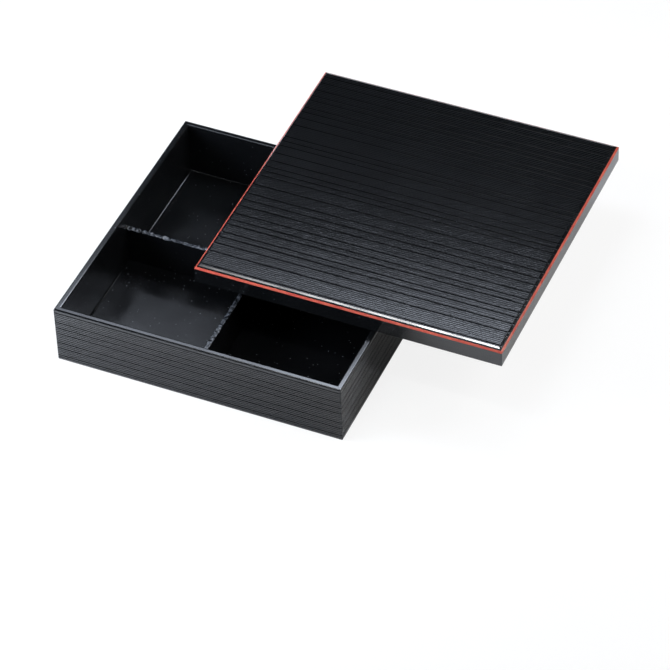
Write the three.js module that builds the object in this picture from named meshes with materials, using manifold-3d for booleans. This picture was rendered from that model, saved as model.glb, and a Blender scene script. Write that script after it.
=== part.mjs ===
// Shokado bento box: a square lacquered box of mitred boards, a four-way divider of two
// half-lapped slats, and a deep lift-off lid that lies on the open box, pushed to the back right.
// Millimetres, +Z up. The origin is the centre of the box's underside, and -Y is the front.

import * as THREE from 'three';
import { mergeVertices } from 'three/addons/utils/BufferGeometryUtils.js';
import Module from 'manifold-3d';

// Box walls
const BOX_SIDE = 244;
const BOX_HEIGHT = 53.4;
const WALL = 5;
const RIM_RADIUS = 1.3;
const FOOT_RADIUS = 0.8;
const BOX_CORNER_RADIUS = 0.8;
const MITRE_GAP = 0.3;

// Floor board, let into a rebate along the foot of the walls
const FLOOR_THICKNESS = 5;
const FLOOR_REBATE = 2.5;
const FLOOR_EDGE_GAP = 0.2;

// Loose splines that lock the mitres, stopped short of the rim and the foot
const SPLINE_THICKNESS = 1.4;
const SPLINE_GAP = 0.3;
const SPLINE_INNER_COVER = 0.8;
const SPLINE_OUTER_COVER = 1.2;
const SPLINE_STOP = 8;

// Divider slats
const SLAT_THICKNESS = 3.6;
const SLAT_HEIGHT = 34;
const SLAT_ARRIS = 0.5;
const SLAT_END_GAP = 0.4;
const SLAT_FOOT_GAP = 0.1;
const LAP_GAP = 0.15;

// Lid: a grooved board on a frame of mitred rails that drops over the box
const LID_CLEARANCE = 1;
const RAIL_THICKNESS = 6;
const RAIL_HEIGHT = 12;
const RAIL_ARRIS = 0.8;
const LID_BOARD_THICKNESS = 4.4;
const LID_CORNER_RADIUS = 0.8;
const LID_REST_GAP = 0.3;
const LID_SHIFT_RIGHT = 96.7;
const LID_SHIFT_BACK = 76.6;

// Edge of the lid board: a vermilion band low on the slope and a black rounded bevel above it
const BAND_RUN = 2;
const BAND_RISE = 1.75;
const BAND_LIP = 0.3;
const BAND_GAP = 0.2;
const BEVEL_RUN = 1.9;
const BEVEL_RISE = 1.05;

// Grooves: the finish counts in fine ribs, and a groove falls after each number in the rhythm
const RIB_PITCH = 1.96;
const GROOVE_WIDTH = 1.3;
const GROOVE_BED = 0.4;
const GROOVE_DEPTH = 0.55;
const LID_FIRST_GROOVE = 5.8;
const LID_RHYTHM = [8, 5, 4, 3, 5, 3, 4, 5, 4, 4, 6, 6, 3, 3, 4, 5, 5, 3, 3];
const WALL_FIRST_GROOVE = 5;
const WALL_RHYTHM = [4, 3, 5, 3, 3, 5];

// Smoothness of the small rounds
const ROUND_STEPS = 4;

// Places worked out from the sizes above
const OUTER = BOX_SIDE / 2;
const INNER = OUTER - WALL;
const LID_OUTER = OUTER + LID_CLEARANCE + RAIL_THICKNESS;
const LID_INNER = OUTER + LID_CLEARANCE;
const LID_FOOT = BOX_HEIGHT + LID_REST_GAP;
const QUARTER_TURN = Math.PI / 2;
const SIDES = ['front', 'right', 'back', 'left'];
const CORNERS = ['front_right', 'back_right', 'back_left', 'front_left'];

const wasm = await Module();
wasm.setup();

// Finishes
const grooveLacquer = new THREE.MeshStandardMaterial({ color: '#1b1d20', roughness: 0.42, metalness: 0 });
const glossLacquer = new THREE.MeshStandardMaterial({ color: '#0e1011', roughness: 0.16, metalness: 0 });
const slatLacquer = new THREE.MeshStandardMaterial({ color: '#131517', roughness: 0.3, metalness: 0 });
const vermilion = new THREE.MeshStandardMaterial({ color: '#c8442c', roughness: 0.3, metalness: 0 });
const bareWood = new THREE.MeshStandardMaterial({ color: '#b8905c', roughness: 0.7, metalness: 0 });

// A closed geometry as a solid that can be cut and joined
function solidOf(geometry) {
  const bare = geometry.clone();
  bare.deleteAttribute('normal');
  bare.deleteAttribute('uv');
  const whole = mergeVertices(bare);
  const vertProperties = Float32Array.from(whole.attributes.position.array);
  const triVerts = Uint32Array.from(whole.index.array);
  return new wasm.Manifold(new wasm.Mesh({ numProp: 3, vertProperties, triVerts }));
}

// A solid as a geometry that can be shown
function geometryOf(solid) {
  const mesh = solid.getMesh();
  const geometry = new THREE.BufferGeometry();
  geometry.setAttribute('position', new THREE.BufferAttribute(mesh.vertProperties, 3));
  geometry.setIndex(new THREE.BufferAttribute(mesh.triVerts, 1));
  geometry.computeVertexNormals();
  return geometry;
}

function pieceOf(name, solid, material) {
  const piece = new THREE.Mesh(geometryOf(solid), material);
  piece.name = name;
  return piece;
}

function extrude(section, depth) {
  const settings = { depth, steps: 1, bevelEnabled: false, curveSegments: ROUND_STEPS };
  return new THREE.ExtrudeGeometry(section, settings);
}

// A board of the given section along the front, its section drawn as (distance from the centre,
// height). Each end is cut back with the distance, which leaves a 45 degree mitre.
function mitredBoard(section) {
  const board = extrude(section, 1);
  const place = board.attributes.position;
  for (let i = 0; i < place.count; i += 1) {
    const outward = place.getX(i);
    const end = place.getZ(i) > 0 ? -1 : 1;
    place.setXYZ(i, end * (outward - MITRE_GAP / 2), -outward, place.getY(i));
  }
  return solidOf(board);
}

// An upright square prism with rounded corners, which softens the corners of what it is laid on
function roundedSquare(half, radius, bottom, top) {
  const outline = new THREE.Shape();
  outline.moveTo(half, -half + radius);
  outline.absarc(half - radius, half - radius, radius, 0, QUARTER_TURN);
  outline.absarc(-half + radius, half - radius, radius, QUARTER_TURN, 2 * QUARTER_TURN);
  outline.absarc(-half + radius, -half + radius, radius, 2 * QUARTER_TURN, 3 * QUARTER_TURN);
  outline.absarc(half - radius, -half + radius, radius, 3 * QUARTER_TURN, 4 * QUARTER_TURN);
  return solidOf(extrude(outline, top - bottom).translate(0, 0, bottom));
}

// Groove places from the first one, in steps of the rhythm, as far as the last place allowed
function grooveRows(first, last, rhythm) {
  const rows = [];
  let beat = 0;
  for (let row = first; row <= last; beat += 1) {
    rows.push(row);
    row += RIB_PITCH * rhythm[beat % rhythm.length];
  }
  return rows;
}

// Section of a wall: rounded foot, grooved face, rounded rim, and the rebate for the floor board
function wallSection() {
  const section = new THREE.Shape();
  section.moveTo(INNER + FLOOR_REBATE, 0);
  section.lineTo(OUTER - FOOT_RADIUS, 0);
  section.absarc(OUTER - FOOT_RADIUS, FOOT_RADIUS, FOOT_RADIUS, -QUARTER_TURN, 0);
  const lastGroove = BOX_HEIGHT - RIM_RADIUS - GROOVE_WIDTH / 2;
  for (const row of grooveRows(WALL_FIRST_GROOVE, lastGroove, WALL_RHYTHM)) {
    section.lineTo(OUTER, row - GROOVE_WIDTH / 2);
    section.lineTo(OUTER - GROOVE_DEPTH, row - GROOVE_BED / 2);
    section.lineTo(OUTER - GROOVE_DEPTH, row + GROOVE_BED / 2);
    section.lineTo(OUTER, row + GROOVE_WIDTH / 2);
  }
  section.absarc(OUTER - RIM_RADIUS, BOX_HEIGHT - RIM_RADIUS, RIM_RADIUS, 0, QUARTER_TURN);
  section.absarc(INNER + RIM_RADIUS, BOX_HEIGHT - RIM_RADIUS, RIM_RADIUS, QUARTER_TURN, 2 * QUARTER_TURN);
  section.lineTo(INNER, FLOOR_THICKNESS);
  section.lineTo(INNER + FLOOR_REBATE, FLOOR_THICKNESS);
  return section;
}

// Spline across a mitre, grown by a gap to make its slot; it stands in the front right corner
function cornerSpline(gap) {
  const slotThickness = SPLINE_THICKNESS + 2 * SPLINE_GAP;
  const centre = INNER + SPLINE_INNER_COVER + slotThickness / 2 / Math.SQRT2;
  const slotReach = (OUTER - SPLINE_OUTER_COVER - centre) * Math.SQRT2 - slotThickness / 2;
  const width = 2 * (slotReach - SPLINE_GAP + gap);
  const height = BOX_HEIGHT - FLOOR_THICKNESS - 2 * SPLINE_STOP + 2 * gap;
  const spline = new THREE.BoxGeometry(width, SPLINE_THICKNESS + 2 * gap, height);
  spline.rotateZ(QUARTER_TURN / 2);
  spline.translate(centre, -centre, (FLOOR_THICKNESS + BOX_HEIGHT) / 2);
  return spline;
}

// One wall, as the front one; the other three are the same board turned round the box
function wallBoard() {
  const slot = solidOf(cornerSpline(SPLINE_GAP));
  const otherSlot = solidOf(cornerSpline(SPLINE_GAP).rotateZ(-QUARTER_TURN));
  const corners = roundedSquare(OUTER, BOX_CORNER_RADIUS, 0, BOX_HEIGHT);
  return mitredBoard(wallSection()).subtract(slot).subtract(otherSlot).intersect(corners);
}

function floorBoard() {
  const side = 2 * (INNER + FLOOR_REBATE - FLOOR_EDGE_GAP);
  const board = new THREE.BoxGeometry(side, side, FLOOR_THICKNESS);
  return solidOf(board.translate(0, 0, FLOOR_THICKNESS / 2));
}

// A slat along X with eased top arrises, standing on height zero
function slatBoard() {
  const half = SLAT_THICKNESS / 2;
  const section = new THREE.Shape();
  section.moveTo(-half, 0);
  section.lineTo(half, 0);
  section.absarc(half - SLAT_ARRIS, SLAT_HEIGHT - SLAT_ARRIS, SLAT_ARRIS, 0, QUARTER_TURN);
  section.absarc(-half + SLAT_ARRIS, SLAT_HEIGHT - SLAT_ARRIS, SLAT_ARRIS, QUARTER_TURN, 2 * QUARTER_TURN);
  const length = 2 * (INNER - SLAT_END_GAP);
  const slat = extrude(section, length).translate(0, 0, -length / 2);
  slat.rotateX(QUARTER_TURN).rotateZ(QUARTER_TURN);
  return solidOf(slat);
}

// Half-lap notch at the middle of a slat, from the middle of its height up or down
function lapNotch(upward) {
  const reach = SLAT_HEIGHT / 2 + LAP_GAP;
  const notch = new THREE.BoxGeometry(SLAT_THICKNESS + 2 * LAP_GAP, 2 * SLAT_THICKNESS, 2 * reach);
  return solidOf(notch.translate(0, 0, upward ? SLAT_HEIGHT : 0));
}

// Section of a lid rail, which meets the lid board along its flat top
function railSection() {
  const section = new THREE.Shape();
  section.moveTo(LID_INNER + RAIL_ARRIS, 0);
  section.lineTo(LID_OUTER - RAIL_ARRIS, 0);
  section.absarc(LID_OUTER - RAIL_ARRIS, RAIL_ARRIS, RAIL_ARRIS, -QUARTER_TURN, 0);
  section.lineTo(LID_OUTER, RAIL_HEIGHT);
  section.lineTo(LID_INNER, RAIL_HEIGHT);
  section.absarc(LID_INNER + RAIL_ARRIS, RAIL_ARRIS, RAIL_ARRIS, 2 * QUARTER_TURN, 3 * QUARTER_TURN);
  return section;
}

// Height of the ledge under the vermilion band, on the lid's own height scale
function bandFoot() {
  return RAIL_HEIGHT + LID_BOARD_THICKNESS - BAND_RISE - BEVEL_RISE;
}

// Section of the lid board across the given grooves, from its left edge to its right one.
// Each edge has the ledge for the vermilion band, then the bevel that rounds up to the top.
function boardSection(grooves) {
  const top = RAIL_HEIGHT + LID_BOARD_THICKNESS;
  const ledge = LID_OUTER - BAND_RUN - BAND_GAP;
  const bevelFoot = bandFoot() + BAND_RISE;
  const bevelCrown = LID_OUTER - BAND_RUN - BEVEL_RUN;
  const section = new THREE.Shape();
  section.moveTo(-LID_OUTER, RAIL_HEIGHT);
  section.lineTo(LID_OUTER, RAIL_HEIGHT);
  section.lineTo(LID_OUTER, bandFoot());
  section.lineTo(ledge, bandFoot());
  section.lineTo(ledge, bevelFoot);
  section.quadraticCurveTo((ledge + bevelCrown) / 2, top, bevelCrown, top);
  for (const row of grooves) {
    const middle = LID_OUTER - row;
    section.lineTo(middle + GROOVE_WIDTH / 2, top);
    section.lineTo(middle + GROOVE_BED / 2, top - GROOVE_DEPTH);
    section.lineTo(middle - GROOVE_BED / 2, top - GROOVE_DEPTH);
    section.lineTo(middle - GROOVE_WIDTH / 2, top);
  }
  section.lineTo(-bevelCrown, top);
  section.quadraticCurveTo(-(ledge + bevelCrown) / 2, top, -ledge, bevelFoot);
  section.lineTo(-ledge, bandFoot());
  section.lineTo(-LID_OUTER, bandFoot());
  return section;
}

// The lid board is where a grooved board running left to right meets a plain one running to the back
function lidBoard() {
  const lastGroove = 2 * LID_OUTER - BAND_RUN - BEVEL_RUN - GROOVE_WIDTH;
  const grooves = grooveRows(LID_FIRST_GROOVE, lastGroove, LID_RHYTHM);
  const grooved = extrude(boardSection(grooves), 2 * LID_OUTER).translate(0, 0, -LID_OUTER);
  grooved.rotateX(QUARTER_TURN).rotateZ(-QUARTER_TURN);
  const plain = extrude(boardSection([]), 2 * LID_OUTER).translate(0, 0, -LID_OUTER);
  plain.rotateX(QUARTER_TURN);
  return solidOf(grooved).intersect(solidOf(plain)).intersect(lidCorners());
}

function lidCorners() {
  return roundedSquare(LID_OUTER, LID_CORNER_RADIUS, 0, RAIL_HEIGHT + LID_BOARD_THICKNESS);
}

// Section of the vermilion band: a small lip, then the slope up to the bevel
function bandSection() {
  const section = new THREE.Shape();
  section.moveTo(LID_OUTER - BAND_RUN, bandFoot());
  section.lineTo(LID_OUTER, bandFoot());
  section.lineTo(LID_OUTER, bandFoot() + BAND_LIP);
  section.lineTo(LID_OUTER - BAND_RUN, bandFoot() + BAND_RISE);
  return section;
}

// Box: four walls, the floor board and the hidden corner splines
function boxGroup() {
  const box = new THREE.Group();
  const wall = wallBoard();
  const spline = solidOf(cornerSpline(0));
  SIDES.forEach((side, turn) => {
    const board = pieceOf(`${side}_wall`, wall, grooveLacquer);
    board.rotation.z = turn * QUARTER_TURN;
    const key = pieceOf(`corner_spline_${CORNERS[turn]}`, spline, bareWood);
    key.rotation.z = turn * QUARTER_TURN;
    box.add(board, key);
  });
  box.add(pieceOf('floor_board', floorBoard(), glossLacquer));
  return box;
}

// Divider: the cross slat is notched from above, and the long slat drops over it
function dividerGroup() {
  const divider = new THREE.Group();
  const crossSlat = pieceOf('cross_slat', slatBoard().subtract(lapNotch(true)), slatLacquer);
  const longSlat = pieceOf('long_slat', slatBoard().subtract(lapNotch(false)), slatLacquer);
  longSlat.rotation.z = QUARTER_TURN;
  divider.add(crossSlat, longSlat);
  divider.position.z = FLOOR_THICKNESS + SLAT_FOOT_GAP;
  return divider;
}

// Lid: the grooved board, the rails under it and the vermilion bands round its edge
function lidGroup() {
  const lid = new THREE.Group();
  const rail = mitredBoard(railSection()).intersect(lidCorners());
  const band = mitredBoard(bandSection()).intersect(lidCorners());
  SIDES.forEach((side, turn) => {
    const railPiece = pieceOf(`lid_rail_${side}`, rail, glossLacquer);
    railPiece.rotation.z = turn * QUARTER_TURN;
    const bandPiece = pieceOf(`lid_band_${side}`, band, vermilion);
    bandPiece.rotation.z = turn * QUARTER_TURN;
    lid.add(railPiece, bandPiece);
  });
  lid.add(pieceOf('lid_board', lidBoard(), grooveLacquer));
  lid.position.set(LID_SHIFT_RIGHT, LID_SHIFT_BACK, LID_FOOT);
  return lid;
}

const bentoBox = new THREE.Group();
bentoBox.add(boxGroup(), dividerGroup(), lidGroup());

export default bentoBox;
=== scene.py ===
"""Shokado bento box: finished boards and their lacquers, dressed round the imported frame.

All lengths are in metres in the frame's own axes: +Z up, -Y to the front, +X to the right. The
origin is the centre of the box's underside.
"""

import bisect
import itertools
import logging
import math
from collections.abc import Iterable, Mapping, Sequence
from dataclasses import dataclass, field
from enum import Enum
from typing import Any

import bmesh
import bpy
from mathutils import Matrix, Vector, noise


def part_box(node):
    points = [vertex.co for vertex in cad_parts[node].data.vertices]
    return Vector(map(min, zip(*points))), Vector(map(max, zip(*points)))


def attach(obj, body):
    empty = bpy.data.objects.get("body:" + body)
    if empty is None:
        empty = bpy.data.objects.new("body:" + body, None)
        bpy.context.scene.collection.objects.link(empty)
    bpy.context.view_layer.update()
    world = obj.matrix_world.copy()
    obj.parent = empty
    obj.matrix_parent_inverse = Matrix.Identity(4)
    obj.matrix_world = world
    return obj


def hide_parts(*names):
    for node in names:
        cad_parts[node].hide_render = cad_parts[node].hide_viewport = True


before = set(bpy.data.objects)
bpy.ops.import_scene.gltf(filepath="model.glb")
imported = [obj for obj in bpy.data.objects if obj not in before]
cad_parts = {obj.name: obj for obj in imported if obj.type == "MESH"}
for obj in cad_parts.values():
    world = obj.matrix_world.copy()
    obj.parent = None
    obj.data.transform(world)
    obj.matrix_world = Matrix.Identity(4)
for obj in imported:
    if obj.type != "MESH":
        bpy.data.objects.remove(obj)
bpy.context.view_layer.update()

LOG = logging.getLogger("bento")

MM = 0.001
WELD = 1e-7
QUARTER_TURN = math.pi / 2
IMAGE_SIDE = 670
SHARP_ANGLE = math.radians(32)
ROUND_WIDTH = 1.0 * MM
# Two points nearer than this are the same corner of a section.
SAME_CORNER = 10 * WELD
# A face whose normal has more than this share in a direction counts as facing it.
FACING = 0.1
# Most of a noise texture lies between these two values.
NOISE_LOW = 0.35
NOISE_HIGH = 0.65


class Side(Enum):
    """A side of the box or the lid, counted in quarter turns from the front."""

    FRONT = 0
    RIGHT = 1
    BACK = 2
    LEFT = 3

    @property
    def label(self) -> str:
        """The side's name as it stands in the node names."""
        return self.name.lower()

    @property
    def turn(self) -> Matrix:
        """The turn about the upright axis that takes a front piece to this side."""
        return Matrix.Rotation(self.value * QUARTER_TURN, 3, "Z")


class Run(Enum):
    """The direction in which a slat or the grain of a board runs, as the number of its axis."""

    ALONG_X = 0
    ALONG_Y = 1


def srgb(code: str) -> tuple[float, float, float, float]:
    """Turns an sRGB hex colour into linear light.

    Args:
        code: Six hex digits after a hash sign.

    Returns:
        Linear red, green, blue and an alpha of one.
    """
    parts = [int(code[i : i + 2], 16) / 255 for i in (1, 3, 5)]
    red, green, blue = (p / 12.92 if p <= 0.04045 else ((p + 0.055) / 1.055) ** 2.4 for p in parts)
    return red, green, blue, 1.0


def add_node(
    tree: bpy.types.NodeTree, kind: str, inputs: Mapping[str | int, Any] | None = None, **settings: Any
) -> bpy.types.Node:
    """Adds a shader node with its settings and links.

    Args:
        tree: The node tree of the material, light or world.
        kind: Blender's name for the node.
        inputs: Values or output sockets by the name or number of the input socket.
        **settings: Attributes of the node itself.

    Returns:
        The new node.
    """
    made = tree.nodes.new(kind)
    for name, value in settings.items():
        setattr(made, name, value)
    for key, value in (inputs or {}).items():
        if isinstance(value, bpy.types.NodeSocket):
            tree.links.new(value, made.inputs[key])
        else:
            made.inputs[key].default_value = value
    return made


def new_material(name: str) -> tuple[bpy.types.Material, bpy.types.NodeTree]:
    """Makes an empty node material.

    Args:
        name: The finish, in a maker's words.

    Returns:
        The material and its node tree, without any node in it.
    """
    material = bpy.data.materials.new(name)
    material.use_nodes = True
    material.node_tree.nodes.clear()
    return material, material.node_tree


@dataclass(frozen=True)
class GrainedLacquer:
    """Black urethane lacquer sprayed thinly over milled and brushed wood, under a clear coat.

    The black coat is satin and the clear coat over it is smooth, so a soft sheen lies under a
    clearer one. Both follow the crepe and the fibres of the brushed wood, which break the sheen a
    little, while the grooves stay dark.
    """

    name: str
    run: Run = Run.ALONG_X
    dark: str = "#050506"
    light: str = "#0b0c0d"
    # The real crepe and fibres are too fine to show here, so they are drawn about a millimetre wide.
    crepe_size: float = 1.0 * MM
    crepe_height: float = 0.03 * MM
    grain_size: float = 0.9 * MM
    grain_stretch: float = 2.0
    grain_height: float = 0.03 * MM
    grain_start: float = 0.52
    grain_full: float = 0.72
    streak_width: float = 1.1 * MM
    streak_stretch: float = 26.0
    streak_height: float = 0.035 * MM
    patch_size: float = 45 * MM
    smoothest: float = 0.28
    roughest: float = 0.33
    # Both coats mirror light, so each has a lower IOR than a single lacquer of about 1.5.
    ior: float = 1.25
    coat_roughness: float = 0.15
    coat_ior: float = 1.4

    def material(self) -> bpy.types.Material:
        """Builds the shader.

        Returns:
            The material.
        """
        material, tree = new_material(self.name)
        place = add_node(tree, "ShaderNodeTexCoord").outputs["Object"]
        crepe = add_node(
            tree,
            "ShaderNodeTexNoise",
            {"Vector": place, "Scale": 1 / self.crepe_size, "Detail": 1.0},
        )
        drawn = [1.0, 1.0, 1.0]
        drawn[self.run.value] = 1 / self.grain_stretch
        fibres = add_node(tree, "ShaderNodeMapping", {"Vector": place, "Scale": drawn})
        grains = add_node(
            tree,
            "ShaderNodeTexNoise",
            {"Vector": fibres.outputs["Vector"], "Scale": 1 / self.grain_size, "Detail": 1.0},
        )
        raised = add_node(
            tree,
            "ShaderNodeMapRange",
            {
                "Value": grains.outputs["Fac"],
                "From Min": self.grain_start,
                "From Max": self.grain_full,
            },
            interpolation_type="SMOOTHSTEP",
        )
        stretched = [1.0, 1.0, 1.0]
        stretched[self.run.value] = 1 / self.streak_stretch
        combed = add_node(tree, "ShaderNodeMapping", {"Vector": place, "Scale": stretched})
        streaks = add_node(
            tree,
            "ShaderNodeTexNoise",
            {"Vector": combed.outputs["Vector"], "Scale": 1 / self.streak_width, "Detail": 1.0},
        )
        combed_relief = add_node(
            tree,
            "ShaderNodeBump",
            {"Strength": 1.0, "Distance": self.streak_height, "Height": streaks.outputs["Fac"]},
        )
        relief = add_node(
            tree,
            "ShaderNodeBump",
            {
                "Strength": 1.0,
                "Distance": self.crepe_height,
                "Height": crepe.outputs["Fac"],
                "Normal": combed_relief.outputs["Normal"],
            },
        )
        relief = add_node(
            tree,
            "ShaderNodeBump",
            {
                "Strength": 1.0,
                "Distance": self.grain_height,
                "Height": raised.outputs["Result"],
                "Normal": relief.outputs["Normal"],
            },
        )
        patches = add_node(
            tree, "ShaderNodeTexNoise", {"Vector": place, "Scale": 1 / self.patch_size, "Detail": 3.0}
        )
        gloss = add_node(
            tree,
            "ShaderNodeMapRange",
            {
                "Value": patches.outputs["Fac"],
                "From Min": NOISE_LOW,
                "From Max": NOISE_HIGH,
                "To Min": self.smoothest,
                "To Max": self.roughest,
            },
        )
        tint = add_node(
            tree,
            "ShaderNodeMix",
            {0: crepe.outputs["Fac"], 6: srgb(self.dark), 7: srgb(self.light)},
            data_type="RGBA",
        )
        coat = add_node(
            tree,
            "ShaderNodeBsdfPrincipled",
            {
                "Base Color": tint.outputs[2],
                "Roughness": gloss.outputs["Result"],
                "IOR": self.ior,
                "Normal": relief.outputs["Normal"],
                "Coat Weight": 1.0,
                "Coat Roughness": self.coat_roughness,
                "Coat IOR": self.coat_ior,
                "Coat Normal": relief.outputs["Normal"],
            },
        )
        add_node(tree, "ShaderNodeOutputMaterial", {"Surface": coat.outputs["BSDF"]})
        return material


@dataclass(frozen=True)
class GlossLacquer:
    """Black urethane lacquer flowed out smooth over sealed board.

    It mirrors the room softly, with a slight orange peel and a few raised dust nibs, whose pale colour is
    dust and also a painted glint.
    """

    name: str
    dark: str = "#08090a"
    light: str = "#0e0f10"
    peel_size: float = 5 * MM
    peel_height: float = 0.015 * MM
    # Real dust is too fine to show here, so the nibs are drawn about a millimetre across, and their pale
    # colour also paints in their glint.
    nib_dust_and_glint: str = "#54575c"
    nib_spacing: float = 6 * MM
    nib_share: float = 0.1
    nib_height: float = 0.06 * MM
    patch_size: float = 30 * MM
    smoothest: float = 0.12
    roughest: float = 0.22
    ior: float = 1.62

    def material(self) -> bpy.types.Material:
        """Builds the shader.

        Returns:
            The material.
        """
        material, tree = new_material(self.name)
        place = add_node(tree, "ShaderNodeTexCoord").outputs["Object"]
        peel = add_node(
            tree, "ShaderNodeTexNoise", {"Vector": place, "Scale": 1 / self.peel_size, "Detail": 1.0}
        )
        cells = add_node(
            tree, "ShaderNodeTexVoronoi", {"Vector": place, "Scale": 1 / self.nib_spacing}
        )
        nib_dust_and_glint_mask = add_node(
            tree,
            "ShaderNodeMapRange",
            {
                "Value": cells.outputs["Distance"],
                "From Min": 0.0,
                "From Max": self.nib_share,
                "To Min": 1.0,
                "To Max": 0.0,
            },
            interpolation_type="SMOOTHSTEP",
        )
        waves = add_node(
            tree,
            "ShaderNodeBump",
            {"Strength": 1.0, "Distance": self.peel_height, "Height": peel.outputs["Fac"]},
        )
        relief = add_node(
            tree,
            "ShaderNodeBump",
            {
                "Strength": 1.0,
                "Distance": self.nib_height,
                "Height": nib_dust_and_glint_mask.outputs["Result"],
                "Normal": waves.outputs["Normal"],
            },
        )
        patches = add_node(
            tree, "ShaderNodeTexNoise", {"Vector": place, "Scale": 1 / self.patch_size, "Detail": 2.0}
        )
        gloss = add_node(
            tree,
            "ShaderNodeMapRange",
            {
                "Value": patches.outputs["Fac"],
                "From Min": NOISE_LOW,
                "From Max": NOISE_HIGH,
                "To Min": self.smoothest,
                "To Max": self.roughest,
            },
        )
        tint = add_node(
            tree,
            "ShaderNodeMix",
            {0: patches.outputs["Fac"], 6: srgb(self.dark), 7: srgb(self.light)},
            data_type="RGBA",
        )
        # The nibs' pale colour is partly dust and partly a painted glint on each nib.
        dusted_and_glinted = add_node(
            tree,
            "ShaderNodeMix",
            {0: nib_dust_and_glint_mask.outputs["Result"], 6: tint.outputs[2], 7: srgb(self.nib_dust_and_glint)},
            data_type="RGBA",
        )
        coat = add_node(
            tree,
            "ShaderNodeBsdfPrincipled",
            {
                "Base Color": dusted_and_glinted.outputs[2],
                "Roughness": gloss.outputs["Result"],
                "IOR": self.ior,
                "Normal": relief.outputs["Normal"],
            },
        )
        add_node(tree, "ShaderNodeOutputMaterial", {"Surface": coat.outputs["BSDF"]})
        return material


@dataclass(frozen=True)
class PaintedLacquer:
    """Lacquer brushed on in one or two coats, so that its colour and level vary a little.

    The brush leaves a faint unevenness in the colour, and a thin coat over a sawn edge stays rough. On a
    sawn edge the pale blotches are also painted glints.
    """

    name: str
    dark: str
    light: str
    blotch_size: float
    relief_size: float
    relief_height: float
    smoothest: float
    roughest: float
    ior: float = 1.54

    def material(self) -> bpy.types.Material:
        """Builds the shader.

        Returns:
            The material.
        """
        material, tree = new_material(self.name)
        place = add_node(tree, "ShaderNodeTexCoord").outputs["Object"]
        blotches = add_node(
            tree, "ShaderNodeTexNoise", {"Vector": place, "Scale": 1 / self.blotch_size, "Detail": 3.0}
        )
        shade = add_node(
            tree,
            "ShaderNodeMapRange",
            {"Value": blotches.outputs["Fac"], "From Min": NOISE_LOW, "From Max": NOISE_HIGH},
        )
        lumps = add_node(
            tree, "ShaderNodeTexNoise", {"Vector": place, "Scale": 1 / self.relief_size, "Detail": 2.0}
        )
        relief = add_node(
            tree,
            "ShaderNodeBump",
            {"Strength": 1.0, "Distance": self.relief_height, "Height": lumps.outputs["Fac"]},
        )
        gloss = add_node(
            tree,
            "ShaderNodeMapRange",
            {"Value": shade.outputs["Result"], "To Min": self.smoothest, "To Max": self.roughest},
        )
        tint = add_node(
            tree,
            "ShaderNodeMix",
            {0: shade.outputs["Result"], 6: srgb(self.dark), 7: srgb(self.light)},
            data_type="RGBA",
        )
        coat = add_node(
            tree,
            "ShaderNodeBsdfPrincipled",
            {
                "Base Color": tint.outputs[2],
                "Roughness": gloss.outputs["Result"],
                "IOR": self.ior,
                "Normal": relief.outputs["Normal"],
            },
        )
        add_node(tree, "ShaderNodeOutputMaterial", {"Surface": coat.outputs["BSDF"]})
        return material


@dataclass(frozen=True)
class PlanedWood:
    """Bare planed softwood, pale brown with upright grain lines, hidden inside the mitres."""

    name: str
    early: str = "#c9a26d"
    late: str = "#8f6436"
    line_spacing: float = 1.4 * MM
    stretch: float = 18.0
    roughness: float = 0.62

    def material(self) -> bpy.types.Material:
        """Builds the shader.

        Returns:
            The material.
        """
        material, tree = new_material(self.name)
        place = add_node(tree, "ShaderNodeTexCoord").outputs["Object"]
        upright = add_node(
            tree, "ShaderNodeMapping", {"Vector": place, "Scale": (1.0, 1.0, 1 / self.stretch)}
        )
        lines = add_node(
            tree,
            "ShaderNodeTexNoise",
            {"Vector": upright.outputs["Vector"], "Scale": 1 / self.line_spacing, "Detail": 3.0},
        )
        tint = add_node(
            tree,
            "ShaderNodeMix",
            {0: lines.outputs["Fac"], 6: srgb(self.early), 7: srgb(self.late)},
            data_type="RGBA",
        )
        wood = add_node(
            tree,
            "ShaderNodeBsdfPrincipled",
            {"Base Color": tint.outputs[2], "Roughness": self.roughness},
        )
        add_node(tree, "ShaderNodeOutputMaterial", {"Surface": wood.outputs["BSDF"]})
        return material


@dataclass(frozen=True)
class Finishes:
    """All finishes of the box, made once and shared by its pieces."""

    grain_x: bpy.types.Material
    grain_y: bpy.types.Material
    gloss: bpy.types.Material
    dusty: bpy.types.Material
    vermilion: bpy.types.Material
    sawn: bpy.types.Material
    wood: bpy.types.Material

    @classmethod
    def mixed(cls) -> "Finishes":
        """Mixes every finish.

        Returns:
            The set of materials.
        """
        return cls(
            grain_x=GrainedLacquer("black_lacquer_grain_along_x").material(),
            grain_y=GrainedLacquer("black_lacquer_grain_along_y", run=Run.ALONG_Y).material(),
            gloss=GlossLacquer("black_lacquer_gloss").material(),
            # Paler, closer nibs on the floor: dust, with their glints painted into the colour.
            dusty=GlossLacquer(
                "black_lacquer_gloss_dusty", nib_dust_and_glint="#84878c", nib_spacing=4.5 * MM
            ).material(),
            vermilion=PaintedLacquer(
                "vermilion_lacquer_brushed",
                dark="#a4453a",
                light="#b45644",
                blotch_size=9 * MM,
                relief_size=2.5 * MM,
                relief_height=0.012 * MM,
                smoothest=0.15,
                roughest=0.25,
            ).material(),
            # The pale blotches on the sawn edge are painted glints on its lumps, as well as the brush's
            # uneven tone.
            sawn=PaintedLacquer(
                "black_lacquer_on_sawn_edge_painted_glints",
                dark="#121416",
                light="#4a4d52",
                blotch_size=2.5 * MM,
                relief_size=1.5 * MM,
                relief_height=0.25 * MM,
                smoothest=0.12,
                roughest=0.3,
            ).material(),
            wood=PlanedWood("planed_softwood").material(),
        )


def whole(bm: bmesh.types.BMesh) -> list[Any]:
    """Everything in a mesh, as the cutting operators want it."""
    return [*bm.verts, *bm.edges, *bm.faces]


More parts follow.
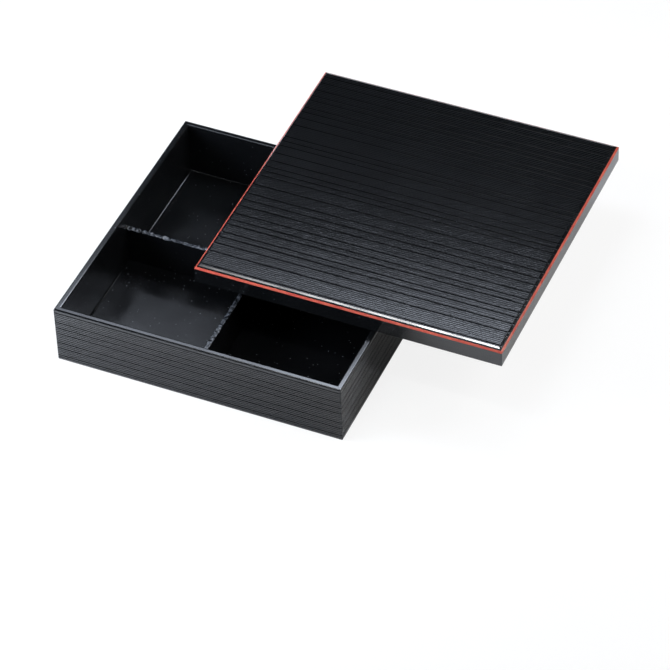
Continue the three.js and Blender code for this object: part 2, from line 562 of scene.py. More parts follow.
def score(bm: bmesh.types.BMesh, point: Sequence[float], normal: Sequence[float]) -> None:
    """Scribes a line round a mesh where a plane meets it, and removes nothing.

    Args:
        bm: The mesh.
        point: A point on the plane.
        normal: The plane's normal.
    """
    bmesh.ops.bisect_plane(bm, geom=whole(bm), dist=WELD, plane_co=point, plane_no=normal)


def saw(bm: bmesh.types.BMesh, point: Sequence[float], normal: Sequence[float]) -> None:
    """Saws off what lies ahead of a plane and closes the cut.

    Args:
        bm: The mesh.
        point: A point on the plane.
        normal: The plane's normal, towards the waste.
    """
    cut = bmesh.ops.bisect_plane(
        bm, geom=whole(bm), dist=WELD, plane_co=point, plane_no=normal, clear_outer=True
    )
    kerf = [part for part in cut["geom_cut"] if isinstance(part, bmesh.types.BMEdge)]
    bmesh.ops.holes_fill(bm, edges=kerf, sides=0)


def bar(outline: Iterable[tuple[float, float]], half: float) -> bmesh.types.BMesh:
    """Makes a straight bar along X from the outline of its end.

    Args:
        outline: The end's corners as (y, z), in order round it.
        half: Half the bar's length.

    Returns:
        The bar as a closed mesh.
    """
    bm = bmesh.new()
    end = bm.faces.new([bm.verts.new((-half, y, z)) for y, z in outline])
    grown = bmesh.ops.extrude_face_region(bm, geom=[end])
    far = [part for part in grown["geom"] if isinstance(part, bmesh.types.BMVert)]
    bmesh.ops.translate(bm, verts=far, vec=(2 * half, 0, 0))
    bmesh.ops.recalc_face_normals(bm, faces=bm.faces)
    return bm


def round_long_edges(
    bm: bmesh.types.BMesh, places: Iterable[tuple[float, float]], radius: float, steps: int
) -> None:
    """Rounds the long edges of a bar that pass through the given points of its section.

    Args:
        bm: The bar, still square at its ends.
        places: The edges' places as (y, z).
        radius: How far the round reaches along each face.
        steps: How many facets the round has.
    """
    spots = [Vector(spot) for spot in places]
    edges = [
        edge
        for edge in bm.edges
        if abs(edge.verts[0].co.x - edge.verts[1].co.x) > WELD
        and any((edge.verts[0].co.yz - spot).length < SAME_CORNER for spot in spots)
    ]
    bmesh.ops.bevel(
        bm, geom=edges, offset=radius, segments=steps, profile=0.5, affect="EDGES", material=-1
    )


def mitre(bm: bmesh.types.BMesh, half: float, radius: float, gap: float, steps: int) -> None:
    """Cuts both ends of a front bar to 45 degrees and rounds its upright corners.

    Args:
        bm: The bar, lying along the front at its own distance from the centre.
        half: Half the side of the square that the bars make.
        radius: Radius of the square's upright corners.
        gap: Width of the open joint.
        steps: Facets of the round on this bar, which has half of each corner.
    """
    for end in (-1, 1):
        across = Vector((end, 1, 0)).normalized()
        saw(bm, across * (-gap / 2), across)
        centre = Vector((end * (half - radius), radius - half, 0))
        for step in range(1, steps + 1):
            angle = QUARTER_TURN / 2 * step / steps
            ahead = Vector((end * math.sin(angle), -math.cos(angle), 0))
            saw(bm, centre + ahead * radius, ahead)


def finished_piece(
    name: str, bm: bmesh.types.BMesh, materials: Sequence[bpy.types.Material]
) -> bpy.types.Object:
    """Turns a mesh into an object at the origin, with soft shading on its rounds only.

    Args:
        name: The piece's name.
        bm: The mesh, in its place. It is freed.
        materials: The finishes that its faces count through.

    Returns:
        The object, in the scene.
    """
    bmesh.ops.remove_doubles(bm, verts=bm.verts, dist=WELD)
    bmesh.ops.recalc_face_normals(bm, faces=bm.faces)
    for face in bm.faces:
        face.smooth = 2 * face.calc_area() / face.calc_perimeter() < ROUND_WIDTH
    for edge in bm.edges:
        soft = edge.is_manifold and edge.calc_face_angle(0) < SHARP_ANGLE
        edge.smooth = soft and len({face.material_index for face in edge.link_faces}) == 1
    mesh = bpy.data.meshes.new(name)
    bm.to_mesh(mesh)
    bm.free()
    for material in materials:
        mesh.materials.append(material)
    piece = bpy.data.objects.new(name, mesh)
    bpy.context.scene.collection.objects.link(piece)
    return piece


def bend(start: Vector, control: Vector, end: Vector, steps: int) -> list[Vector]:
    """Draws a smooth bend between two points.

    Args:
        start: First point.
        control: Where the tangents of both ends meet.
        end: Last point.
        steps: How many straight parts the bend has.

    Returns:
        The points, both ends included.
    """
    shares = [i / steps for i in range(steps + 1)]
    return [start * (1 - t) ** 2 + control * (2 * t * (1 - t)) + end * t**2 for t in shares]


@dataclass(frozen=True)
class Cut:
    """One straight cut across a face: where its middle lies, its width at the face and its depth."""

    place: float
    width: float
    depth: float


@dataclass(frozen=True)
class Grooving:
    """Combed work: fine cuts at an even pitch, and a wider groove after a counted number of ribs."""

    pitch: float = 1.96 * MM
    width: float = 1.7 * MM
    depth: float = 0.9 * MM
    fine_width: float = 0.55 * MM
    fine_depth: float = 0.3 * MM
    wall_run: float = 0.08 * MM
    rib_slope: float = math.radians(6)
    rib_facets: int = 4

    def cuts(self, first: float, span: tuple[float, float], rhythm: Sequence[int]) -> list[Cut]:
        """Works out where the cuts fall.

        Args:
            first: Place of the first wide groove.
            span: First and last place of the combed part of the face.
            rhythm: Ribs from each wide groove to the next, repeated as needed.

        Returns:
            The cuts, in order.
        """
        lowest = math.ceil((span[0] + self.width / 2 - first - WELD) / self.pitch)
        highest = math.floor((span[1] - self.width / 2 - first + WELD) / self.pitch)
        wide = {0}
        for ribs in itertools.cycle(rhythm):
            if max(wide) > highest:
                break
            wide.add(max(wide) + ribs)
        found = []
        for count in range(lowest, highest + 1):
            size = (self.width, self.depth) if count in wide else (self.fine_width, self.fine_depth)
            found.append(Cut(first + self.pitch * count, *size))
        return found

    def depth_at(self, place: float, cuts: Sequence[Cut]) -> float:
        """How far the worked face lies below its level at one of its lines.

        Args:
            place: Distance along the face, across the cuts.
            cuts: The cuts, in order.

        Returns:
            The depth: that of a cut's bed, or the fall of a rib's rounded back.
        """
        after = bisect.bisect_left(cuts, place, key=lambda cut: cut.place)
        near = cuts[max(0, after - 1) : after + 1]
        for cut in near:
            if abs(cut.place - place) < cut.width / 2 - WELD:
                return cut.depth
        if len(near) < 2:
            return 0.0
        low, high = near[0].place + near[0].width / 2, near[1].place - near[1].width / 2
        return math.sin(self.rib_slope) * (place - (low + high) / 2) ** 2 / (high - low)

    def lines(self, cuts: Sequence[Cut]) -> list[float]:
        """Where a face has to be scored for the cuts and for the rounded ribs between them.

        Args:
            cuts: The cuts, in order.

        Returns:
            The lines' places.
        """
        found = []
        for cut in cuts:
            bed = cut.width / 2 - self.wall_run
            found += [cut.place + side for side in (-cut.width / 2, -bed, bed, cut.width / 2)]
        for before, after in zip(cuts, cuts[1:]):
            low, high = before.place + before.width / 2, after.place - after.width / 2
            found += [low + (high - low) * i / self.rib_facets for i in range(1, self.rib_facets)]
        return found

    def mill(
        self,
        bm: bmesh.types.BMesh,
        across: Vector,
        outward: Vector,
        origin: float,
        cuts: Sequence[Cut],
    ) -> None:
        """Mills the cuts into a flat face, with steep walls so that they stay dark.

        Args:
            bm: The board.
            across: Direction across the cuts.
            outward: The face's normal.
            origin: Where the cuts' places count from, along across.
            cuts: The cuts, in order.
        """
        face = max(vert.co.dot(outward) for vert in bm.verts)
        for line in self.lines(cuts):
            score(bm, across * (origin + line), across)
        for vert in bm.verts:
            if abs(vert.co.dot(outward) - face) < WELD:
                vert.co -= outward * self.depth_at(vert.co.dot(across) - origin, cuts)


@dataclass
class BoxShell:
    """The box: four mitred walls, the floor board, the lacquer bead round it and the splines."""

    finishes: Finishes
    grooving: Grooving = field(
        default_factory=lambda: Grooving(
            width=1.2 * MM, depth=0.5 * MM, fine_width=0.75 * MM, fine_depth=0.3 * MM
        )
    )
    rhythm: tuple[int, ...] = (4, 3, 5, 3, 3, 5)
    first_groove: float = 5 * MM
    rim_radius: float = 1.3 * MM
    foot_radius: float = 0.8 * MM
    corner_radius: float = 0.8 * MM
    joint_gap: float = 0.08 * MM
    rebate: float = 2.5 * MM
    bead_radius: float = 1.2 * MM
    round_steps: int = 6
    floor_steps: int = 2

    def __post_init__(self) -> None:
        """Reads the box's sizes from the frame."""
        low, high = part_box("right_wall")
        self.inner, self.outer, self.height = low.x, high.x, high.z
        self.floor_low, self.floor_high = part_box("floor_board")

    def build(self) -> list[bpy.types.Object]:
        """Builds and dresses the box.

        Returns:
            Its new pieces.
        """
        walls = [self.wall(side) for side in Side]
        self.dress_splines()
        return [*walls, self.floor(), self.bead()]

    def wall(self, side: Side) -> bpy.types.Object:
        """Builds one wall, grooved outside and smooth inside.

        Args:
            side: Which wall.

        Returns:
            The wall.
        """
        floor_top = self.floor_high.z
        rabbet = self.inner + self.rebate
        outline = (
            (-self.outer, 0.0),
            (-self.outer, self.height),
            (-self.inner, self.height),
            (-self.inner, floor_top),
            (-rabbet, floor_top),
            (-rabbet, 0.0),
        )
        bm = bar(outline, self.outer)
        rim = ((-self.outer, self.height), (-self.inner, self.height))
        round_long_edges(bm, rim, self.rim_radius, self.round_steps)
        round_long_edges(bm, ((-self.outer, 0.0),), self.foot_radius, self.round_steps // 2)
        span = (self.foot_radius, self.height - self.rim_radius)
        cuts = self.grooving.cuts(self.first_groove, span, self.rhythm)
        self.grooving.mill(bm, Vector((0, 0, 1)), Vector((0, -1, 0)), 0.0, cuts)
        mitre(bm, self.outer, self.corner_radius, self.joint_gap, self.round_steps // 2)
        skin = -self.outer + self.grooving.depth + WELD
        for face in bm.faces:
            grooved = face.calc_center_median().y < skin and face.normal.y < -FACING
            face.material_index = 0 if grooved else 1
        bmesh.ops.rotate(bm, verts=bm.verts, matrix=side.turn)
        along_x = side in (Side.FRONT, Side.BACK)
        grain = self.finishes.grain_x if along_x else self.finishes.grain_y
        piece = finished_piece(f"wall_{side.label}", bm, [grain, self.finishes.gloss])
        return dressed(piece, "box", f"{side.label}_wall")

    def floor(self) -> bpy.types.Object:
        """Builds the floor board, eased along its lower edges.

        Returns:
            The floor board.
        """
        bm = bmesh.new()
        bmesh.ops.create_cube(bm, size=1.0)
        bmesh.ops.scale(bm, verts=bm.verts, vec=self.floor_high - self.floor_low)
        bmesh.ops.translate(bm, verts=bm.verts, vec=(self.floor_high + self.floor_low) / 2)
        long_edges = [edge for edge in bm.edges if edge.calc_length() > self.inner]
        bmesh.ops.bevel(
            bm,
            geom=[edge for edge in long_edges if edge.verts[0].co.z < WELD],
            offset=self.foot_radius / 2,
            segments=self.floor_steps,
            profile=0.5,
            affect="EDGES",
            material=-1,
        )
        # The floor's finish has painted glints on its dust nibs.
        piece = finished_piece("floor_inside", bm, [self.finishes.dusty])
        return dressed(piece, "box", "floor_board")

    def bead(self) -> bpy.types.Object:
        """Builds the bead of lacquer that gathers where the floor meets the walls.

        Returns:
            The bead, which runs round all four walls.
        """
        radius = self.bead_radius
        arc = [QUARTER_TURN * i / self.round_steps for i in range(self.round_steps + 1)]
        hollow = [(radius * (1 - math.sin(a)), radius * (1 - math.cos(a))) for a in arc]
        bm = bmesh.new()
        corner = [
            bm.verts.new((out - self.inner, out - self.inner, self.floor_high.z + up))
            for out, up in [(0.0, 0.0), *hollow]
        ]
        section = [bm.edges.new(ends) for ends in zip(corner, corner[1:] + corner[:1])]
        bmesh.ops.spin(
            bm,
            geom=[*corner, *section],
            cent=(0, 0, 0),
            axis=(0, 0, 1),
            angle=len(Side) * QUARTER_TURN,
            steps=len(Side),
            use_merge=True,
        )
        piece = finished_piece("lacquer_bead", bm, [self.finishes.gloss])
        return dressed(piece, "box")

    def dress_splines(self) -> None:
        """Gives the splines in the corners their bare wood."""
        for corner in ("front_right", "back_right", "back_left", "front_left"):
            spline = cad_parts[f"corner_spline_{corner}"]
            spline.data.materials.clear()
            spline.data.materials.append(self.finishes.wood)


@dataclass
class Divider:
    """The four-way divider: two slats, half-lapped where they cross."""

    finishes: Finishes
    lap_gap: float = 0.15 * MM
    arris: float = 0.55 * MM
    lump_size: float = 2.8 * MM
    lump_height: float = 1.0 * MM
    lump_step: float = 0.8 * MM
    lump_reach: float = 0.825 * MM
    # The lumps swing about zero, and this share of their height keeps most of them under the top.
    lump_sink: float = 0.5
    arris_steps: int = 3

    def build(self) -> list[bpy.types.Object]:
        """Builds and dresses both slats.

        Returns:
            The slats.
        """
        return [self.slat("cross_slat", Run.ALONG_X), self.slat("long_slat", Run.ALONG_Y)]

    def slat(self, node: str, run: Run) -> bpy.types.Object:
        """Builds one slat with its notch and the lumpy lacquer on its sawn top.

        Args:
            node: The slat's node, which its body is named for too.
            run: The direction along the slat.

        Returns:
            The slat.
        """
        low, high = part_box(node)
        along, across = run.value, 1 - run.value
        half = (high[along] - low[along]) / 2
        thick = (high[across] - low[across]) / 2
        height = high.z - low.z
        outline = ((-thick, 0.0), (thick, 0.0), (thick, height), (-thick, height))
        bm = bar(outline, half)
        tops = ((-thick, height), (thick, height))
        round_long_edges(bm, tops, self.arris, self.arris_steps)
        self.roughen(bm, half, height)
        for face in bm.faces:
            face.material_index = 1 if face.normal.z > FACING else 0
        side = 1 if run is Run.ALONG_X else -1
        self.notch(bm, thick + self.lap_gap, (height - side * self.lap_gap) / 2, side)
        if run is Run.ALONG_Y:
            bmesh.ops.rotate(bm, verts=bm.verts, matrix=Side.RIGHT.turn)
        bmesh.ops.translate(bm, verts=bm.verts, vec=(0, 0, low.z))
        piece = finished_piece(f"slat_{node.split('_')[0]}", bm, [self.finishes.gloss, self.finishes.sawn])
        return dressed(piece, node, node)

    def notch(self, bm: bmesh.types.BMesh, reach: float, level: float, side: int) -> None:
        """Cuts a slat's half of the lap in its middle.

        Args:
            bm: The slat, along X on height zero.
            reach: Half the notch's width.
            level: Height of the notch's end.
            side: 1 for a notch from above, -1 for one from below.
        """
        for x in (-reach, reach):
            score(bm, (x, 0, 0), (1, 0, 0))
        score(bm, (0, 0, level), (0, 0, 1))
        middles = {face: face.calc_center_median() for face in bm.faces}
        waste = [face for face, at in middles.items() if abs(at.x) < reach and side * (at.z - level) > 0]
        bmesh.ops.delete(bm, geom=waste, context="FACES")
        on_level = [vert for vert in bm.verts if abs(vert.co.z - level) < WELD]
        for x in (-reach, reach):
            corners = [vert for vert in on_level if abs(vert.co.x - x) < WELD]
            bmesh.ops.contextual_create(bm, geom=corners)
        rims = [edge for edge in bm.edges if not edge.is_manifold]
        for x in (-reach, reach):
            wall = [edge for edge in rims if all(abs(vert.co.x - x) < WELD for vert in edge.verts)]
            bmesh.ops.contextual_create(bm, geom=wall)
        bed = [edge for edge in rims if all(abs(vert.co.z - level) < WELD for vert in edge.verts)]
        bmesh.ops.contextual_create(bm, geom=bed)

    def roughen(self, bm: bmesh.types.BMesh, half: float, height: float) -> None:
        """Raises small lumps along the top of a slat, where lacquer dried on the sawn edge.

        Args:
            bm: The slat, along X on height zero.
            half: Half its length.
            height: Its height.
        """
        steps = int(2 * half / self.lump_step)
        for step in range(1, steps):
            score(bm, (2 * half * step / steps - half, 0, 0), (1, 0, 0))
        for vert in bm.verts:
            if vert.co.z > height - self.lump_reach and abs(vert.co.x) < half - WELD:
                swing = noise.noise(vert.co / self.lump_size)
                vert.co.z += self.lump_height * (swing - self.lump_sink)


@dataclass
class Lid:
    """The lid: a grooved board with a rounded edge, four rails and the vermilion line."""

    finishes: Finishes
    grooving: Grooving = field(default_factory=Grooving)
    rhythm: tuple[int, ...] = (8, 5, 4, 3, 5, 3, 4, 5, 4, 4, 6, 6, 3, 3, 4, 5, 5, 3, 3)
    first_groove: float = 5.8 * MM
    foot_slope: float = math.radians(52)
    bevel_slope: float = math.radians(28)
    bevel_corner: float = 3.9 * MM
    bevel_start: float = 2.6 * MM
    crown_reach: float = 0.32 * MM
    bend_steps: int = 10
    red_steps: int = 6
    crown_steps: int = 4
    red_thickness: float = 0.06 * MM
    red_bedding: float = 0.03 * MM
    red_waste: float = 1.0 * MM
    corner_radius: float = 0.8 * MM
    rail_arris: float = 0.8 * MM
    joint_gap: float = 0.06 * MM
    round_steps: int = 3

    def __post_init__(self) -> None:
        """Reads the lid's sizes from the frame."""
        self.low, self.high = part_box("lid_board")
        self.half = (self.high.x - self.low.x) / 2
        self.centre = Vector(((self.low.x + self.high.x) / 2, (self.low.y + self.high.y) / 2, 0))
        self.edge_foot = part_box("lid_band_front")[0].z
        rail_low, rail_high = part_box("lid_rail_front")
        self.rail_foot = rail_low.z
        self.rail_thickness = rail_high.y - rail_low.y

    def build(self) -> list[bpy.types.Object]:
        """Builds and dresses the lid.

        Returns:
            Its pieces.
        """
        rails = [self.rail(side) for side in Side]
        lines = [self.red_line(side) for side in Side]
        return [self.board(), *rails, *lines]

    def edge_profile(self) -> list[Vector]:
        """Works out the edge: a round foot, a flat bevel and a small round at its crown.

        Returns:
            Points as (distance from the lid's side, height), from the foot up.
        """
        rise = self.high.z - self.edge_foot
        steep, slope = math.tan(self.foot_slope), math.tan(self.bevel_slope)
        corner = Vector((self.bevel_corner, rise))
        start = corner - Vector((1, slope)) * (self.bevel_corner - self.bevel_start)
        bend_run = (rise - slope * self.bevel_corner) / (steep - slope)
        crown = corner - Vector((1, slope)) * self.crown_reach
        top = corner + Vector((self.crown_reach, 0))
        foot_curve = bend(Vector((0, 0)), Vector((bend_run, bend_run * steep)), start, self.bend_steps)
        return [*foot_curve, *bend(crown, corner, top, self.crown_steps)]

    def place(self, bm: bmesh.types.BMesh, side: Side) -> None:
        """Turns a piece of the front to its side and moves it to where the lid lies.

        Args:
            bm: The piece, at the front of a lid round the origin.
            side: The side it belongs to.
        """
        bmesh.ops.rotate(bm, verts=bm.verts, matrix=side.turn)
        bmesh.ops.translate(bm, verts=bm.verts, vec=self.centre)

    def board(self) -> bpy.types.Object:
        """Builds the grooved board and its rounded edge.

        Returns:
            The board.
        """
        bottom, top = self.low.z, self.high.z
        outline = ((-self.half, bottom), (self.half, bottom), (self.half, top), (-self.half, top))
        bm = bar(outline, self.half)
        crown = self.bevel_corner + self.crown_reach
        span = (self.first_groove - self.grooving.width / 2, 2 * self.half - crown)
        cuts = self.grooving.cuts(self.first_groove, span, self.rhythm)
        self.grooving.mill(bm, Vector((0, 1, 0)), Vector((0, 0, 1)), -self.half, cuts)
        for side in Side:
            bmesh.ops.rotate(bm, verts=bm.verts, matrix=side.turn)
            self.shape_edge(bm)
            bmesh.ops.rotate(bm, verts=bm.verts, matrix=side.turn.transposed())
        field_half = self.half - crown
        skin = top - self.grooving.depth - WELD
        for face in bm.faces:
            middle = face.calc_center_median()
            inside = max(abs(middle.x), abs(middle.y)) < field_half - WELD
            grained = inside and middle.z > skin and face.normal.z > FACING
            past_first = middle.y > self.first_groove - self.half - self.grooving.width / 2
            face.material_index = 0 if grained and past_first else 1
        self.place(bm, Side.FRONT)
        piece = finished_piece("lid_top", bm, [self.finishes.grain_x, self.finishes.gloss])
        return dressed(piece, "lid", "lid_board")

    def shape_edge(self, bm: bmesh.types.BMesh) -> None:
        """Saws the rounded edge along the front, facet by facet, and rounds the corner beside it.

        Args:
            bm: The board, turned so that the side to shape is at the front.
        """
        points = self.edge_profile()
        for lower, upper in zip(points, points[1:]):
            rise = upper - lower
            spot = (0, lower.x - self.half, self.edge_foot + lower.y)
            saw(bm, spot, (0, -rise.y, rise.x))
        centre = Vector((self.half - self.corner_radius, self.corner_radius - self.half, 0))
        for step in range(1, 2 * self.round_steps):
            angle = QUARTER_TURN * step / (2 * self.round_steps)
            ahead = Vector((math.sin(angle), -math.cos(angle), 0))
            saw(bm, centre + ahead * self.corner_radius, ahead)

    def rail(self, side: Side) -> bpy.types.Object:
        """Builds one rail of the lid's skirt.

        Args:
            side: Which rail.

        Returns:
            The rail.
        """
        inner = self.half - self.rail_thickness
        foot, head = self.rail_foot, self.low.z
        outline = ((-self.half, foot), (-self.half, head), (-inner, head), (-inner, foot))
        bm = bar(outline, self.half)
        round_long_edges(bm, ((-self.half, foot), (-inner, foot)), self.rail_arris, self.round_steps)
        mitre(bm, self.half, self.corner_radius, self.joint_gap, self.round_steps)
        self.place(bm, side)
        piece = finished_piece(f"lid_side_{side.label}", bm, [self.finishes.gloss])
        return dressed(piece, "lid", f"lid_rail_{side.label}")

    def red_line(self, side: Side) -> bpy.types.Object:
        """Builds the vermilion line on one edge, as a thin coat on the lower part of the round.

        Args:
            side: Which edge.

        Returns:
            The line.
        """
        points = self.edge_profile()
        lower, upper = [], []
        red = points[: self.red_steps + 1]
        for before, here, after in zip([points[0], *points], red, points[1:]):
            slope = (after - before).normalized()
            outward = Vector((-slope.y, slope.x))
            upper.append(here + outward * self.red_thickness)
            lower.append(here - outward * self.red_bedding)
        outline = [(p.x - self.half, self.edge_foot + p.y) for p in [*upper, *reversed(lower)]]
        bm = bar(outline, self.half + self.red_waste)
        mitre(bm, self.half + self.red_thickness, self.corner_radius, 0.0, self.round_steps)
        self.place(bm, side)
        piece = finished_piece(f"red_line_{side.label}", bm, [self.finishes.vermilion])
        return dressed(piece, "lid", f"lid_band_{side.label}")


def dressed(piece: bpy.types.Object, body: str, node: str | None = None) -> bpy.types.Object:
    """Seats a finished piece on its body.

    Args:
        piece: The piece.
        body: The body that it rides on.
        node: The node that it stands for, if any.

    Returns:
        The same piece.
    """
    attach(piece, body)
    if node:
        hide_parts(node)
    return piece


@dataclass(frozen=True)
class Softbox:
    """A rectangular studio light, given by how bright its face is.

    One that isn't mirrored lights the object but leaves no image of itself in the lacquer.
    """

    name: str
    radiance: float
    width: float
    depth: float
    place: tuple[float, float, float]
    aim: tuple[float, float, float]
    colour: str = "#e6efff"
    mirrored: bool = True

    def hang(self) -> None:
        """Hangs the light and points it."""
        lamp = bpy.data.lights.new(self.name, "AREA")
        lamp.color = srgb(self.colour)[:3]
        lamp.shape = "RECTANGLE"
        lamp.size, lamp.size_y = self.width, self.depth
        lamp.energy = self.radiance * math.pi * self.width * self.depth
        light = bpy.data.objects.new(self.name, lamp)
        light.location = self.place
        sight = Vector(self.aim) - Vector(self.place)
        light.rotation_euler = sight.to_track_quat("-Z", "Y").to_euler()
        light.visible_camera = False
        light.visible_glossy = self.mirrored
        bpy.context.scene.collection.objects.link(light)


@dataclass(frozen=True)
class FadingPanel:
    """A level sheet of glowing gauze overhead, which lets light through.

    Its glow fades in one direction, from full_at to gone_at, and the power says how steeply.
    """

    name: str
    radiance: float
    low: tuple[float, float]
    high: tuple[float, float]
    height: float
    along: tuple[float, float, float]
    full_at: float
    gone_at: float
    power: float
    colour: str = "#e6efff"

    def hang(self) -> None:
        """Stretches the cloth and lights it."""
        low, high = Vector((*self.low, self.height)), Vector((*self.high, self.height))
        bm = bmesh.new()
        bmesh.ops.create_grid(bm, x_segments=1, y_segments=1, size=0.5)
        bmesh.ops.scale(bm, verts=bm.verts, vec=high - low)
        bmesh.ops.translate(bm, verts=bm.verts, vec=(low + high) / 2)
        mesh = bpy.data.meshes.new(self.name)
        bm.to_mesh(mesh)
        bm.free()
        material, tree = new_material(f"{self.name}_glow")
        place = add_node(tree, "ShaderNodeTexCoord").outputs["Object"]
        distance = add_node(
            tree, "ShaderNodeVectorMath", {0: place, 1: self.along}, operation="DOT_PRODUCT"
        )
        share = add_node(
            tree,
            "ShaderNodeMapRange",
            {
                "Value": distance.outputs["Value"],
                "From Min": self.gone_at,
                "From Max": self.full_at,
            },
        )
        fade = add_node(
            tree, "ShaderNodeMath", {0: share.outputs["Result"], 1: self.power}, operation="POWER"
        )
        level = add_node(
            tree, "ShaderNodeMath", {0: fade.outputs["Value"], 1: self.radiance}, operation="MULTIPLY"
        )
        glow = add_node(
            tree,
            "ShaderNodeEmission",
            {"Color": srgb(self.colour), "Strength": level.outputs["Value"]},
        )
        gauze = add_node(tree, "ShaderNodeBsdfTransparent")
        lit = add_node(tree, "ShaderNodeAddShader", {0: glow.outputs["Emission"], 1: gauze.outputs["BSDF"]})
        add_node(tree, "ShaderNodeOutputMaterial", {"Surface": lit.outputs["Shader"]})
        mesh.materials.append(material)
        cloth = bpy.data.objects.new(self.name, mesh)
        cloth.visible_camera = False
        bpy.context.scene.collection.objects.link(cloth)


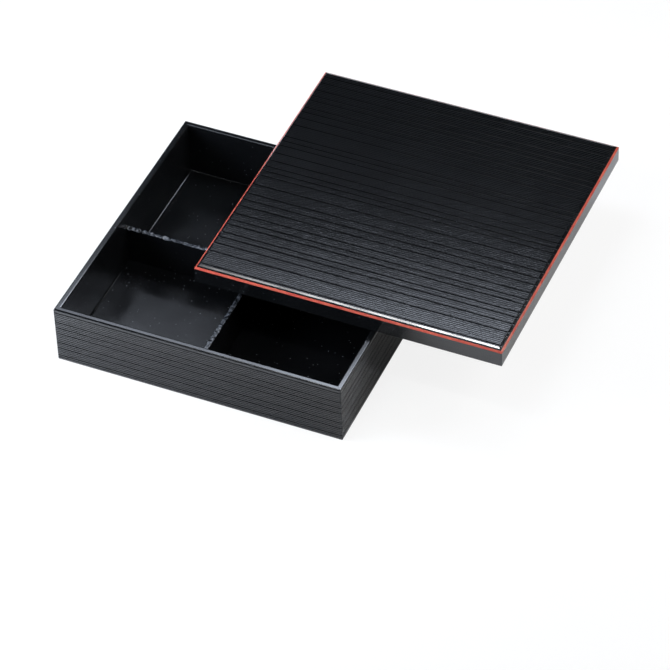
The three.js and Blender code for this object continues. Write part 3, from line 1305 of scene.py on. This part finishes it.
@dataclass
class Studio:
    """Camera, lights, floor and surroundings."""

    azimuth: float = math.radians(24.72)
    elevation: float = math.radians(43.65)
    roll: float = math.radians(-2.02)
    distance: float = 2.936
    target: Vector = field(default_factory=lambda: Vector((0.0701, -0.0162, 0.0)))
    focal_pixels: float = 3710.0
    sensor: float = 36.0
    sight_range: float = 24.0
    floor_half: float = 6.0
    floor_colour: str = "#f4f3f1"
    floor_glow: float = 0.85
    floor_gloss_glow: float = 0.04
    room: str = "#2b3137"
    lights: tuple[Softbox | FadingPanel, ...] = (
        FadingPanel(
            "back_cloth",
            radiance=12.5,
            low=(-0.5, 0.15),
            high=(0.18, 0.6),
            height=0.415,
            along=(-0.22, 1.0, 0.0),
            full_at=0.2,
            gone_at=0.6,
            power=12.0,
        ),
        FadingPanel(
            "far_cloth",
            radiance=1.2,
            low=(-0.5, 0.15),
            high=(0.18, 0.7),
            height=0.42,
            along=(-0.3, 1.0, 0.0),
            full_at=0.15,
            gone_at=0.7,
            power=4.0,
        ),
        FadingPanel(
            "left_cloth",
            radiance=1.4,
            low=(-0.5, 0.15),
            high=(-0.2, 0.5),
            height=0.41,
            along=(0.0, 1.0, 0.0),
            full_at=0.2,
            gone_at=0.5,
            power=2.0,
        ),
        FadingPanel(
            "front_tube",
            radiance=42.0,
            low=(-0.25, -0.151),
            high=(0.115, -0.129),
            height=0.5,
            along=(1.0, 0.0, 0.0),
            full_at=0.0,
            gone_at=-0.25,
            power=1.5,
            colour="#ffffff",
        ),
        FadingPanel(
            "front_cloth",
            radiance=6.0,
            low=(-0.2, -0.36),
            high=(0.12, -0.151),
            height=0.5,
            along=(0.6, 1.0, 0.0),
            full_at=-0.1,
            gone_at=-0.36,
            power=1.5,
        ),
        Softbox(
            "front_left_softbox",
            radiance=18.5,
            width=0.5,
            depth=0.5,
            place=(-0.6, -0.36, 0.26),
            aim=(-0.1, -0.14, 0.0),
            mirrored=False,
        ),
        Softbox(
            "right_softbox",
            radiance=4.54,
            width=0.9,
            depth=0.9,
            place=(1.0, 0.3, 0.7),
            aim=(0.25, 0.1, 0.0),
            colour="#ffffff",
        ),
    )

    def build(self) -> None:
        """Sets up everything round the object."""
        bpy.context.scene.view_settings.view_transform = "Standard"
        self.camera()
        for light in self.lights:
            light.hang()
        self.floor()
        self.surroundings()

    def camera(self) -> None:
        """Places the camera where the photograph was taken from."""
        data = bpy.data.cameras.new("camera")
        data.sensor_width = self.sensor
        data.lens = self.focal_pixels * self.sensor / IMAGE_SIDE
        data.clip_end = self.sight_range
        flat = math.cos(self.elevation)
        back = Vector(
            (math.sin(self.azimuth) * flat, -math.cos(self.azimuth) * flat, math.sin(self.elevation))
        )
        right = Vector((math.cos(self.azimuth), math.sin(self.azimuth), 0))
        level = Matrix((right, back.cross(right), back)).transposed()
        turned = level @ Matrix.Rotation(self.roll, 3, "Z")
        camera = bpy.data.objects.new("camera", data)
        camera.matrix_world = Matrix.Translation(self.target + back * self.distance) @ turned.to_4x4()
        bpy.context.scene.collection.objects.link(camera)
        bpy.context.scene.camera = camera

    def floor(self) -> None:
        """Lays the pale floor, which glows to the eye but keeps the object's shadow."""
        bm = bmesh.new()
        bmesh.ops.create_grid(bm, x_segments=1, y_segments=1, size=self.floor_half)
        mesh = bpy.data.meshes.new("floor")
        bm.to_mesh(mesh)
        bm.free()
        material, tree = new_material("white_paper_sweep")
        path = add_node(tree, "ShaderNodeLightPath")
        clear = add_node(
            tree,
            "ShaderNodeMath",
            {0: path.outputs["Is Camera Ray"], 1: path.outputs["Is Transmission Ray"]},
            operation="MAXIMUM",
        )
        mirrored = add_node(
            tree,
            "ShaderNodeMath",
            {0: path.outputs["Is Glossy Ray"], 1: self.floor_gloss_glow},
            operation="MULTIPLY",
        )
        share = add_node(
            tree,
            "ShaderNodeMath",
            {0: clear.outputs["Value"], 1: self.floor_glow, 2: mirrored.outputs["Value"]},
            operation="MULTIPLY_ADD",
        )
        paper = add_node(tree, "ShaderNodeBsdfDiffuse", {"Color": srgb(self.floor_colour)})
        glow = add_node(tree, "ShaderNodeEmission", {"Strength": 1.0})
        sweep = add_node(
            tree,
            "ShaderNodeMixShader",
            {0: share.outputs["Value"], 1: paper.outputs["BSDF"], 2: glow.outputs["Emission"]},
        )
        add_node(tree, "ShaderNodeOutputMaterial", {"Surface": sweep.outputs["Shader"]})
        mesh.materials.append(material)
        floor = bpy.data.objects.new("floor", mesh)
        bpy.context.scene.collection.objects.link(floor)

    def surroundings(self) -> None:
        """Makes the room dim, and white where the camera looks past the floor."""
        world = bpy.data.worlds.new("room")
        world.use_nodes = True
        tree = world.node_tree
        tree.nodes.clear()
        path = add_node(tree, "ShaderNodeLightPath")
        dim = add_node(tree, "ShaderNodeBackground", {"Color": srgb(self.room)})
        white = add_node(tree, "ShaderNodeBackground", {"Strength": 1.0})
        seen = add_node(
            tree,
            "ShaderNodeMixShader",
            {
                0: path.outputs["Is Camera Ray"],
                1: dim.outputs["Background"],
                2: white.outputs["Background"],
            },
        )
        add_node(tree, "ShaderNodeOutputWorld", {"Surface": seen.outputs["Shader"]})
        bpy.context.scene.world = world


def main() -> None:
    """Builds the studio and the box, piece by piece."""
    logging.basicConfig(level=logging.INFO)
    Studio().build()
    finishes = Finishes.mixed()
    for assembly in (BoxShell(finishes), Divider(finishes), Lid(finishes)):
        for piece in assembly.build():
            LOG.info("%s: %d faces", piece.name, len(piece.data.polygons))


if __name__ == "__main__":
    main()
